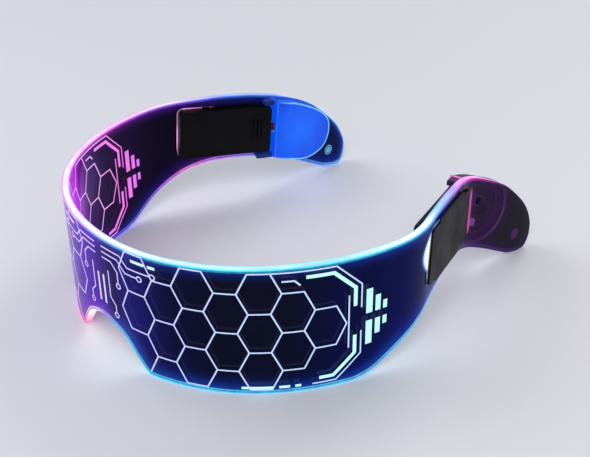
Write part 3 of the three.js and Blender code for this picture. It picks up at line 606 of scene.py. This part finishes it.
# Tinted clear plastic that carries light: it glows towards every cut edge, and brightest where
# the front lamps shine into it
def panelFinish():
    made = Finish("smokedAcrylic", Roughness=shine["roughness"], IOR=1.49, SpecularIORLevel=shine["gloss"],
                  EmissionStrength=1.0)
    along, up = made.sheetPlace()
    tone = {key: made.ramp(along, stops(glow[key])) for key in
            ("panel", "deep", "flare", "halo", "lowHalo", "lip", "bottom")}
    gap = {key: made.field(key) for key in ("topGap", "lowGap", "windowGap", "cordGap")}
    outer, onUnit = made.field("outerFace"), made.spread(made.field("unitDepth"), 0.0, 1.0, 0.0, 0.5)
    left = along > 0.5
    side = {key: made.mix(left, tint(*right), tint(*other)) for key, (right, other) in shine["sides"].items()}
    x, z = ontoWindow((along - 0.5) * (2 * sheet["reach"]), up * sheet["height"])
    front = -window["length"] / 2
    ahead = front - x
    inFront = ahead > shine["leafBack"]

    cloud = made.spread(made.noise(scale=38, detail=2, rough=0.5), 0.7, 1.3, 0.35, 0.65)
    light = made.mix(1.0, tone["deep"], cloud, "MULTIPLY")
    light = made.mix(1.0 - outer, light, tone["flare"], "ADD")
    for key, share, reach, colours in shine["halos"]:
        fade = made.near(gap[key], shine["halo"] * reach) ** 3
        light = made.mix(fade * (shine["haloShare"] * share), light, tone[colours])
    # Where the left lamp unit lies behind the sheet, the unit's violet glow is painted onto the sheet's light
    light = made.mix(onUnit * left, light, tint(*shine["paintedUnitGlow"]))

    flow = made.spread(made.noise(320, 2, 0.5, stretch=(1, 1, 0.3)), 0.72, 1.05, 0.35, 0.65)
    for key, reach, groove, colours in shine["lines"]:
        between = 1.0 - made.spread(abs(gap[key] - groove), shine["grooveShare"], 0.0, *shine["groove"])
        line = made.near(gap[key], reach, shine["crisp"]) * between * flow
        light = made.mix(line * shine["lineShare"], light, tone[colours])
    for radius, share in shine["cordRings"]:
        ring = made.spread(abs(gap["cordGap"] - radius), share, 0.0, *shine["ringWidth"])
        light = made.mix(ring, light, side["ring"])

    # The line round the window is brightest at the middle of its front edge
    frameLine = made.near(gap["windowGap"], shine["frame"], shine["crisp"])
    frameLine = frameLine * made.spread(x, 1.0, 0.0, front, front + shine["frameFade"])
    frameLine = frameLine * made.spread(z, 0.0, 1.0, *shine["frameFrom"])
    upright = made.spread(abs(z + shine["uprightDown"]), 1.0, shine["uprightLeast"], *shine["upright"])
    frameLine = frameLine * (1.0 - (1.0 - upright) * (x < front + shine["uprightWide"]) * shine["uprightDim"])
    light = made.mix(frameLine, light, side["frame"])

    # The leaf thins out up and down from its middle, and has a coloured fringe round a white core
    taper = made.near(((z - shine["leafUp"]) / shine["leafHalf"]) ** 2, 1.0) ** shine["leafPower"]
    leaf = (taper * shine["leaf"] - ahead).maths("DIVIDE", shine["leaf"], clip=True) * inFront
    light = made.mix(made.spread(leaf, 0.0, 0.9, *shine["leafFringe"]) * outer, light, side["fringe"])
    light = made.mix(made.spread(leaf, 0.0, 1.0, *shine["leafCore"]) * outer, light, side["core"])

    # The lamp unit's lit front wall, seen through the sheet, is painted onto the sheet's outer face as a streak of
    # light
    behind = abs(x + z * shine["streakLean"] - shine["streakAt"])
    streak = made.near(behind, shine["streak"], 0.5) * made.spread(abs(z), 1.0, 0.0, *shine["streakEnds"])
    light = made.mix(streak * outer, light, side["streak"])

    # Just ahead of the window the sheet lets nothing through
    hides = made.spread(ahead, 1.0 - shine["alpha"], 0.0, *shine["clearFrom"]) * inFront
    made.feed(BaseColor=tone["panel"], EmissionColor=light,
              Alpha=hides + shine["alpha"] - onUnit * (shine["alpha"] - shine["unitAlpha"]))
    return made


makeSheet(panelFinish())
print("sheet made")

# Lit edges: a bead on the rim of every cut, its sides rounded off. On its map the bottom edge has
# the lane from 0 up, the top edge the one that ends at 1, and each lane runs across the sheet
edge = {"round": 0.35, "depth": 0.45, "sunk": 0.02, "side": 0.02, "lane": 0.4, "step": 1.0,
        "white": 0.3, "corners": (0.22, 0.42), "streaks": (46.0, 3.4), "flow": (0.74, 1.06, 0.36, 0.62)}


# The sheet's outline as one closed line: the top edge from one tip to the other, then the bottom edge back
def outlineLoop():
    end = sheet["reach"]
    s = np.linspace(-end, end, int(2 * end / edge["step"]) + 1)
    drop = np.linspace(topAt(end), bottomAt(end), 5)[1:-1]
    tip = np.full(len(drop), end)
    return np.vstack([np.stack(pair, -1) for pair in (
        (s, topAt(s)), (tip, drop), (s[::-1], bottomAt(s[::-1])), (-tip, drop[::-1]))])


# The rim's own profile: flat across the cut, with both corners rounded off as quarter circles
def rimProfile():
    half, r = sheet["thickness"] / 2 - panel["under"], edge["round"]
    corner = np.radians([90, 60, 30, 0])
    side = np.stack([r - r * np.cos(corner), half - r + r * np.sin(corner)], -1)
    middle = np.stack([np.zeros(5), np.linspace(0.66, -0.66, 5) * half], -1)
    foot = np.array([(edge["depth"], half - edge["side"])])
    return np.vstack([foot, side, middle, side[::-1] * (1, -1), foot * (1, -1)]) + (edge["sunk"], 0)


# A closed bead along a loop of the unrolled sheet: the profile runs round the rim from
# face to face, set in towards the sheet by its first number and out of the plane by its second
def rimBead(name, loop, inward, finish, share, sign=1, profile=None):
    profile = rimProfile() if profile is None else np.array(profile)
    way = ofLengthOne(np.roll(loop, -1, axis=0) - np.roll(loop, 1, axis=0))
    normal = np.stack([-way[:, 1], way[:, 0]], -1) * inward
    flat = (loop[:, None] + normal[:, None] * profile[None, :, :1]) * (sign, 1)
    across = np.broadcast_to(profile[:, 1], flat.shape[:2])
    points = onSheet(flat[..., 0], flat[..., 1], across).reshape(-1, 3)
    faces = gridFaces(len(loop), len(profile), closeRows=True, closeColumns=True)
    lane = share[:, None] * (1 - edge["lane"]) + edge["lane"] * (across / sheet["thickness"] + 0.5)
    maps = np.stack([flat[..., 0] / sheet["reach"] / 2 + 0.5, lane], -1).reshape(-1, 2)
    makePiece(name, points, turnOutward(points, faces), "visor", finish, maps)


# The light that leaves a cut edge, brightest in the middle of the sheet's thickness
def edgeFinish(name, colours=None):
    made = Finish(name, Roughness=0.25, IOR=1.49, SpecularIORLevel=0.3, EmissionStrength=1.0)
    along, up = made.sheetPlace()
    onTop = up > 0.5
    across = (up - onTop * (1 - edge["lane"])) / edge["lane"]
    corners = made.spread(abs(across - 0.5), 0.0, 1.0, *edge["corners"])
    place = made.node("ShaderNodeCombineXYZ", inputs={0: along * edge["streaks"][0], 1: across * edge["streaks"][1]})
    streaks = made.node("ShaderNodeTexNoise", inputs={"Vector": place, "Scale": 1.0, "Detail": 2.0})
    if colours:
        light = middle = side = made.ramp(along, stops(colours))
    else:
        bottom, top, lip = (made.ramp(along, stops(glow[key])) for key in ("bottom", "top", "lip"))
        light = made.mix(onTop, bottom, top)
        middle, side = made.mix(edge["white"], light, (1, 1, 1)), made.mix(onTop, light, lip)
    lit = made.mix(corners, made.mix(1.0, middle, made.spread(streaks, *edge["flow"]), "MULTIPLY"), side)
    return made.feed(EmissionColor=lit, BaseColor=made.mix(0.8, light, (0, 0, 0)))


# Colours along the sheet on the rims of the holes and on the beads round the lamp units
rimGlow = {
    "Window": [(0.0, 20, 40, 120), (0.19, 60, 20, 80), (0.22, 120, 44, 120), (0.7, 40, 60, 190),
               (0.792, 60, 110, 230), (0.81, 10, 20, 70), (1.0, 30, 10, 40)],
    "ButtonHole": [(0.0, 20, 60, 150), (0.5, 30, 50, 140), (1.0, 56, 24, 80)],
    "CordHole": [(0.5, 20, 60, 140), (1.0, 34, 14, 44)],
    "unitSeam": [(0.45, 24, 84, 200), (0.55, 70, 30, 96)],
    "unitRim": [(0.09, 110, 190, 255), (0.103, 16, 100, 255), (0.45, 16, 100, 255), (0.55, 72, 32, 104),
                (0.897, 72, 32, 104), (0.91, 168, 88, 208)],
}
# Profiles of those beads: how far outside the unit and at which level their points lie
unitBeads = {
    "unitSeam": [(0.25, -1.45), (0.32, -1.62), (0.5, -1.78), (0.68, -1.84), (0.86, -1.78), (1.04, -1.62),
                 (1.1, -1.45)],  # round its foot on the sheet's inner face
    "unitRim": [(-0.62, -7.1), (-0.56, -7.26), (-0.42, -7.36), (-0.22, -7.38), (-0.06, -7.3), (0.0, -7.1)],
}


def makeEdges():
    loop = outlineLoop()
    half = len(loop) // 2
    share = np.r_[np.ones(half), np.zeros(len(loop) - half)]
    rimBead("litOutline", loop, -1, edgeFinish("litEdge"), share)
    turn = np.linspace(0, 2 * math.pi, 120, endpoint=False)
    holes = {"Window": windowLoop(turn), "ButtonHole": buttonLoop(turn[::3]), "CordHole": cordLoop(turn[::3])}
    for key, hole in holes.items():
        finish = edgeFinish("lit" + key, rimGlow[key])
        for side, sign in sides.items():
            rimBead("lit" + key + side, hole, -1, finish, np.ones(len(hole)), sign)
    loop = unitLoop()
    loop = np.stack(windowPlace(np.maximum(loop[:, 0], unit["front"] + unit["beadsFrom"]), loop[:, 1]), -1)
    for key, profile in unitBeads.items():
        finish = edgeFinish(key + "Glow", rimGlow[key])
        for side, sign in sides.items():
            rimBead(key + side, loop, 1, finish, np.ones(len(loop)), sign, profile)


makeEdges()
print("edges lit")

# Engraved lines on both lenses, in millimetres along the sheet and above the table
comb = {"middle": 62.5, "up": 25.3, "half": 3.66, "rise": 7.794, "width": 0.52,
        "cells": {-4: (0, 2), -3: (-1, 1), -2: (-2, 0, 2), -1: (-1, 1), 0: (-2, 0, 2), 1: (-1, 1), 2: (0,)},
        "loose": [((-11, -3), (-10, -2)), ((-7, 3), (-5, 3)), ((-4, 2), (-5, 3)), ((-7, -3), (-8, -2)),
                  ((-1, 3), (-2, 2))]}
engraving = {"under": 0.005, "depth": 0.3, "step": 1.6, "overrun": 0.156, "boldFrom": 0.8, "glow": 0.95}
frameLines = [  # the bracket round the outer end of the comb, its ticks and the dashes under it
    (0.5, [(66.16, 48.68), (88.0, 48.68), (97.2, 39.6), (97.2, 30.4)]),
    (1.3, [(78.0, 46.3), (87.2, 46.3), (94.9, 38.8), (94.9, 31.6)]),
    (0.5, [(97.2, 20.6), (97.2, 11.4), (88.2, 2.6), (80.0, 2.6)]),
    (1.3, [(94.9, 19.4), (94.9, 12.2), (87.2, 4.7), (82.4, 4.7)]),
    (0.5, [(92.6, 36.0), (92.6, 15.0)]),
    (1.0, [(56.0, 2.7), (66.5, 2.7)]), (1.0, [(68.6, 2.7), (72.0, 2.7)]), (1.0, [(74.1, 2.7), (75.8, 2.7)]),
    (0.6, [(70.0, 45.4), (74.0, 45.4), (75.8, 43.6)]),
]
signalBars = [  # blocks that step down behind the bracket
    (2.4, [(100.2, 36.6), (100.2, 27.2)]), (2.4, [(100.2, 23.8), (100.2, 14.4)]),
    (2.0, [(103.6, 33.2), (103.6, 27.2)]), (2.0, [(103.6, 23.8), (103.6, 17.8)]),
    (1.6, [(106.5, 30.2), (106.5, 27.2)]), (1.6, [(106.5, 23.8), (106.5, 20.8)]),
]
traceLines = [  # conductor-like traces beside the nose, each ends in a ring
    (0.5, [(2.2, 45.6), (12.0, 45.6), (15.4, 42.2), (25.0, 42.2)]),
    (0.5, [(2.2, 43.4), (10.4, 43.4), (14.2, 39.6), (19.4, 39.6)]),
    (0.5, [(2.2, 41.2), (7.0, 41.2), (10.0, 38.2), (10.0, 33.8)]),
    (0.5, [(4.8, 36.6), (4.8, 26.0), (7.4, 23.4), (7.4, 20.6)]),
    (1.1, [(17.6, 45.8), (23.0, 45.8)]), (1.1, [(24.8, 45.8), (27.4, 45.8)]),
    (0.9, [(1.6, 33.6), (1.6, 22.0)]),
]
traceRings = {"diameter": 2.0, "width": 0.45, "at": [(26.2, 42.2), (20.6, 39.6), (10.0, 32.6), (7.4, 19.4)]}


# The honeycomb's sides, each once: six corners round every cell, on a lattice of half widths and rows
def combLines():
    edges = {tuple(sorted(pair)) for pair in comb["loose"]}
    for column, rows in comb["cells"].items():
        for u, v in ((3 * column, row) for row in rows):
            corners = [(u - 2, v), (u - 1, v + 1), (u + 1, v + 1), (u + 2, v), (u + 1, v - 1), (u - 1, v - 1)]
            edges |= {tuple(sorted((corners[k], corners[k - 1]))) for k in range(6)}
    return [(comb["width"], [(comb["middle"] + comb["half"] * u, comb["up"] + comb["rise"] * v) for u, v in pair])
            for pair in sorted(edges)]


# Strokes as flat bars let into one face: each line is split into short steps so that it
# follows the bend, and carries a rectangle whose sides meet in mitres at the corners
def strokeMesh(strokes, side, face):
    bars = []
    outer = face * (sheet["thickness"] / 2 - engraving["under"])
    inner = outer - face * engraving["depth"]
    for width, line in strokes:
        p = np.array(line, float)
        closed = np.allclose(p[0], p[-1])
        lengths = np.linalg.norm(np.diff(p, axis=0), axis=1)
        runs = [np.linspace(0, 1, max(1, math.ceil(n / engraving["step"])), endpoint=False) for n in lengths]
        q = np.vstack([p[k] + (p[k + 1] - p[k]) * run[:, None] for k, run in enumerate(runs)])
        if not closed:
            q = np.vstack([q, p[-1:]])
        ahead = np.roll(q, -1, axis=0) - q
        behind = q - np.roll(q, 1, axis=0)
        if not closed:
            ahead[-1], behind[0] = behind[-1], ahead[0]
        ahead, behind = ofLengthOne(ahead), ofLengthOne(behind)
        way = ofLengthOne(ahead + behind)
        mitre = 1 / np.maximum((way * ahead).sum(axis=1), 0.5)
        if not closed:  # ends run on a little, so that lines that meet fill their corner
            q[0] -= behind[0] * engraving["overrun"]
            q[-1] += ahead[-1] * engraving["overrun"]
        across = np.stack([-way[:, 1], way[:, 0]], -1) * mitre[:, None] * width / 2
        flat = np.stack([q - across, q + across, q + across, q - across], 1) * (side, 1)
        level = np.broadcast_to(np.array([inner, inner, outer, outer]), flat.shape[:2])
        at = onSheet(flat[..., 0], flat[..., 1], level).reshape(-1, 3)
        tube = gridFaces(len(q), 4, closeRows=closed, closeColumns=True)
        if not closed:
            last = (len(q) - 1) * 4
            tube = np.vstack([tube, [[0, 1, 2, 3]], [[last + 3, last + 2, last + 1, last]]])
        bars.append((at, turnOutward(at, tube)))
    return joinMeshes(bars)


def lineFinish(name, colours):
    made = Finish(name, Roughness=0.5, EmissionStrength=engraving["glow"])
    colour = made.ramp(made.sheetPlace()[0], stops(glow[colours]))
    grain = made.spread(made.noise(scale=900, detail=2, rough=0.6), 0.86, 1.06, 0.3, 0.7)
    return made.feed(EmissionColor=made.mix(1.0, colour, grain, "MULTIPLY"), BaseColor=made.mix(0.7, colour, (0, 0, 0)))


# How far along the sheet a point lies: the nearest place of the middle plane's curve in plan
def whereAlong(points):
    s = np.linspace(0, sheet["reach"], 900)
    x, y = planCurve(s)[:2]
    plan = np.stack([np.abs(points[:, 0]) / mm, points[:, 1] / mm + sheet["shift"]], -1)
    return s[((plan[:, None] - np.stack([x, y], -1)[None]) ** 2).sum(-1).argmin(axis=1)]


def makeEngraving():
    turn = np.linspace(0, 2 * math.pi, 17)
    ringLines = [(traceRings["width"], circleLoop(turn, at, traceRings["diameter"])) for at in traceRings["at"]]
    lines = frameLines + traceLines + signalBars
    thinLines = [line for line in lines if line[0] < engraving["boldFrom"]] + ringLines
    boldLines = [line for line in lines if line[0] >= engraving["boldFrom"]]
    thin, bold = lineFinish("frostedLine", "lines"), lineFinish("frostedBar", "bars")
    for side, sign in sides.items():
        for name, strokes, finish in (("honeycomb", combLines(), thin), ("fineLines", thinLines, thin),
                                      ("boldLines", boldLines, bold)):
            # Cut into the outer face, and once more as the cuts show through the inner one
            points, faces = joinMeshes([strokeMesh(strokes, sign, face) for face in (1, -1)])
            makePiece(name + side, points, faces, "visor", finish,
                      sheetShares(sign * whereAlong(points), points[:, 2] / mm), smooth=0)


makeEngraving()
print("lines engraved")


# Finishes of the CAD solids
def blackPlastic(name, roughness, grain):
    made = Finish(name, SpecularIORLevel=0.12)
    speck = made.noise(scale=1800, rough=0.6)
    wear = made.spread(made.noise(scale=90, rough=0.6), -0.05, 0.08, 0.35, 0.7)
    shade = made.ramp(made.noise(scale=160, detail=2, rough=0.5), [(0.3, tint(4, 4, 7)), (0.7, tint(10, 10, 14))])
    made.feed(BaseColor=shade, Roughness=wear + roughness)
    return made.bump(speck, grain)


def metalFinish(name, colour, stretch, wear, roughness=0.32, shaded=0.86):
    made = Finish(name, Metallic=1.0)
    brushed = made.noise(scale=700, rough=0.6, stretch=stretch)
    dull = tint(*(part * shaded for part in colour))
    made.feed(BaseColor=made.ramp(made.noise(scale=60, rough=0.6), [(0.3, dull), (0.7, tint(*colour))]),
              Roughness=made.spread(brushed, roughness - wear, roughness + wear, 0.3, 0.7))
    return made.bump(brushed, 0.0000003)


# Green solder mask over traces, which are the courses of a brick pattern
def boardFinish():
    made = Finish("solderMask", Roughness=0.34, CoatWeight=0.25)
    turned = made.node("ShaderNodeMapping", inputs={"Vector": made.place(), "Rotation": (0, math.radians(90), 0)})
    trace = made.node("ShaderNodeTexBrick", {"offset": 0.37, "squash": 0.7}, {
        "Vector": turned, "Scale": 420.0, "Mortar Size": 0.035, "Mortar Smooth": 0.2, "Row Height": 0.55}, output="Fac")
    made.feed(BaseColor=made.mix(trace, tint(10, 66, 40), tint(28, 108, 62)))
    return made.bump(trace, 0.00002)


# Amber film over copper lanes, which are the crests of a wave up the strip
def foilFinish():
    made = Finish("copperOnFilm", Metallic=0.55, Roughness=0.38)
    height = made.node("ShaderNodeSeparateXYZ", inputs={0: made.place()}, output="Z")
    lanes = (height * 5200.0).maths("SINE") + 0.55 > 0.5
    made.feed(BaseColor=made.mix(lanes, tint(92, 48, 20), tint(150, 92, 48)))
    return made.bump(lanes, 0.00002)


def lensFinish(name, low, high):
    made = Finish(name, Roughness=0.15, IOR=1.5, EmissionStrength=1.0)
    cloud = made.ramp(made.noise(scale=900, detail=2, rough=0.5), [(0.3, tint(*low)), (0.7, tint(*high))])
    return made.feed(BaseColor=cloud, EmissionColor=cloud)


# The lamp unit's frosted plastic, in millimetres from the middle of its front wall: the place of
# its lamp, the level of the wall, and where each kind of light starts and ends along it
frost = {"lamp": (12.0, -4.0, -5.0), "level": -4.0, "fade": (3.0, 24.0), "wallRear": (0.9, 1.6),
         "wallFront": (-0.5, -0.1), "ears": (-0.8, -0.1), "glow": 0.9,
         "R": {"bright": (10, 104, 255), "dim": (0, 62, 214), "streak": (4, 78, 232), "ear": (6, 30, 104)},
         "L": {"bright": (70, 30, 100), "dim": (44, 16, 66), "streak": (255, 110, 215), "ear": (40, 14, 60)}}


# Brightest round the lamp, the front wall lit like a streak and the ears that reach forward
# dimmer; the distance from the front edge is measured along the window's axis
def frostedFinish(name, side):
    sign = sides[side]
    s, h = windowPlace(unit["front"], 0.0)
    front = onSheet(sign * s, h, frost["level"])
    rear = onSheet(sign * (s + math.cos(tilt)), h - math.sin(tilt), frost["level"])
    along, down, out = frost["lamp"]
    lamp = onSheet(sign * (s + along), h + down, out)
    made = Finish(name, Roughness=0.42, IOR=1.5, SpecularIORLevel=0.3, EmissionStrength=frost["glow"])
    place = made.place()
    away = made.node("ShaderNodeVectorMath", {"operation": "DISTANCE"}, {0: place, 1: tuple(lamp)}, output="Value")
    fade = made.spread(away, 0.0, 1.0, frost["fade"][0] * mm, frost["fade"][1] * mm)
    step = made.node("ShaderNodeVectorMath", {"operation": "SUBTRACT"}, {0: place, 1: tuple(front)})
    inward = made.node("ShaderNodeVectorMath", {"operation": "DOT_PRODUCT"},
                       {0: step, 1: tuple((rear - front) / mm)}, output="Value") / mm
    wall = made.spread(inward, 1.0, 0.0, *frost["wallRear"]) * made.spread(inward, 0.0, 1.0, *frost["wallFront"])
    onEar = made.spread(inward, 1.0, 0.0, *frost["ears"])
    bright, dim, streak, ear = (tint(*frost[side][key]) for key in ("bright", "dim", "streak", "ear"))
    cloud = made.spread(made.noise(scale=120), 0.9, 1.08, 0.3, 0.7)
    colour = made.mix(1.0, made.ramp(fade, [(0.0, bright), (1.0, dim)]), cloud, "MULTIPLY")
    colour = made.mix(onEar, made.mix(wall, colour, streak), ear)
    made.feed(BaseColor=made.mix(0.85, colour, (0, 0, 0)), EmissionColor=colour)
    return made.bump(made.noise(scale=2400, detail=2, rough=0.5), 0.000008)


def dressNodes():
    cell = metalFinish("cellSteel", (214, 217, 222), (1, 5, 1), 0.05)
    contact = metalFinish("tinnedLeaf", (222, 214, 190), (1, 8, 1), 0.12)
    chip, lens = blackPlastic("chipEpoxy", 0.6, 0.00002), lensFinish("frontLens", (216, 226, 255), (250, 252, 255))
    both = {
        "battery_case": blackPlastic("mouldedCase", 0.42, 0.00004),
        "battery_door": blackPlastic("mouldedDoor", 0.34, 0.00003),
        "button_cap": blackPlastic("buttonRubber", 0.55, 0.00002), "coin_cell_front": cell, "coin_cell_rear": cell,
        "cell_contact_front": contact, "cell_contact_rear": contact, "bridge_contact": contact,
        "flex_strip": foilFinish(), "circuit_board": boardFinish(), "controller_chip": chip, "switch_body": chip,
        "led_upper": lens, "led_lower": lens}
    tails = {"L": lensFinish("violetLens", (150, 60, 190), (214, 120, 240)),
             "R": lensFinish("azureLens", (90, 170, 255), (170, 220, 255))}
    frosts = {"L": frostedFinish("violetFrost", "L"), "R": frostedFinish("azureFrost", "R")}
    for side in sides:
        own = {"led_tail": tails[side], "lamp_housing": frosts[side], "lamp_diffuser": frosts[side]}
        for name, finish in {**both, **own}.items():
            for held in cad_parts[name + "_" + side].material_slots:
                held.material = finish.material


dressNodes()
print("nodes dressed")

bpy.context.scene.view_settings.view_transform = "Standard"
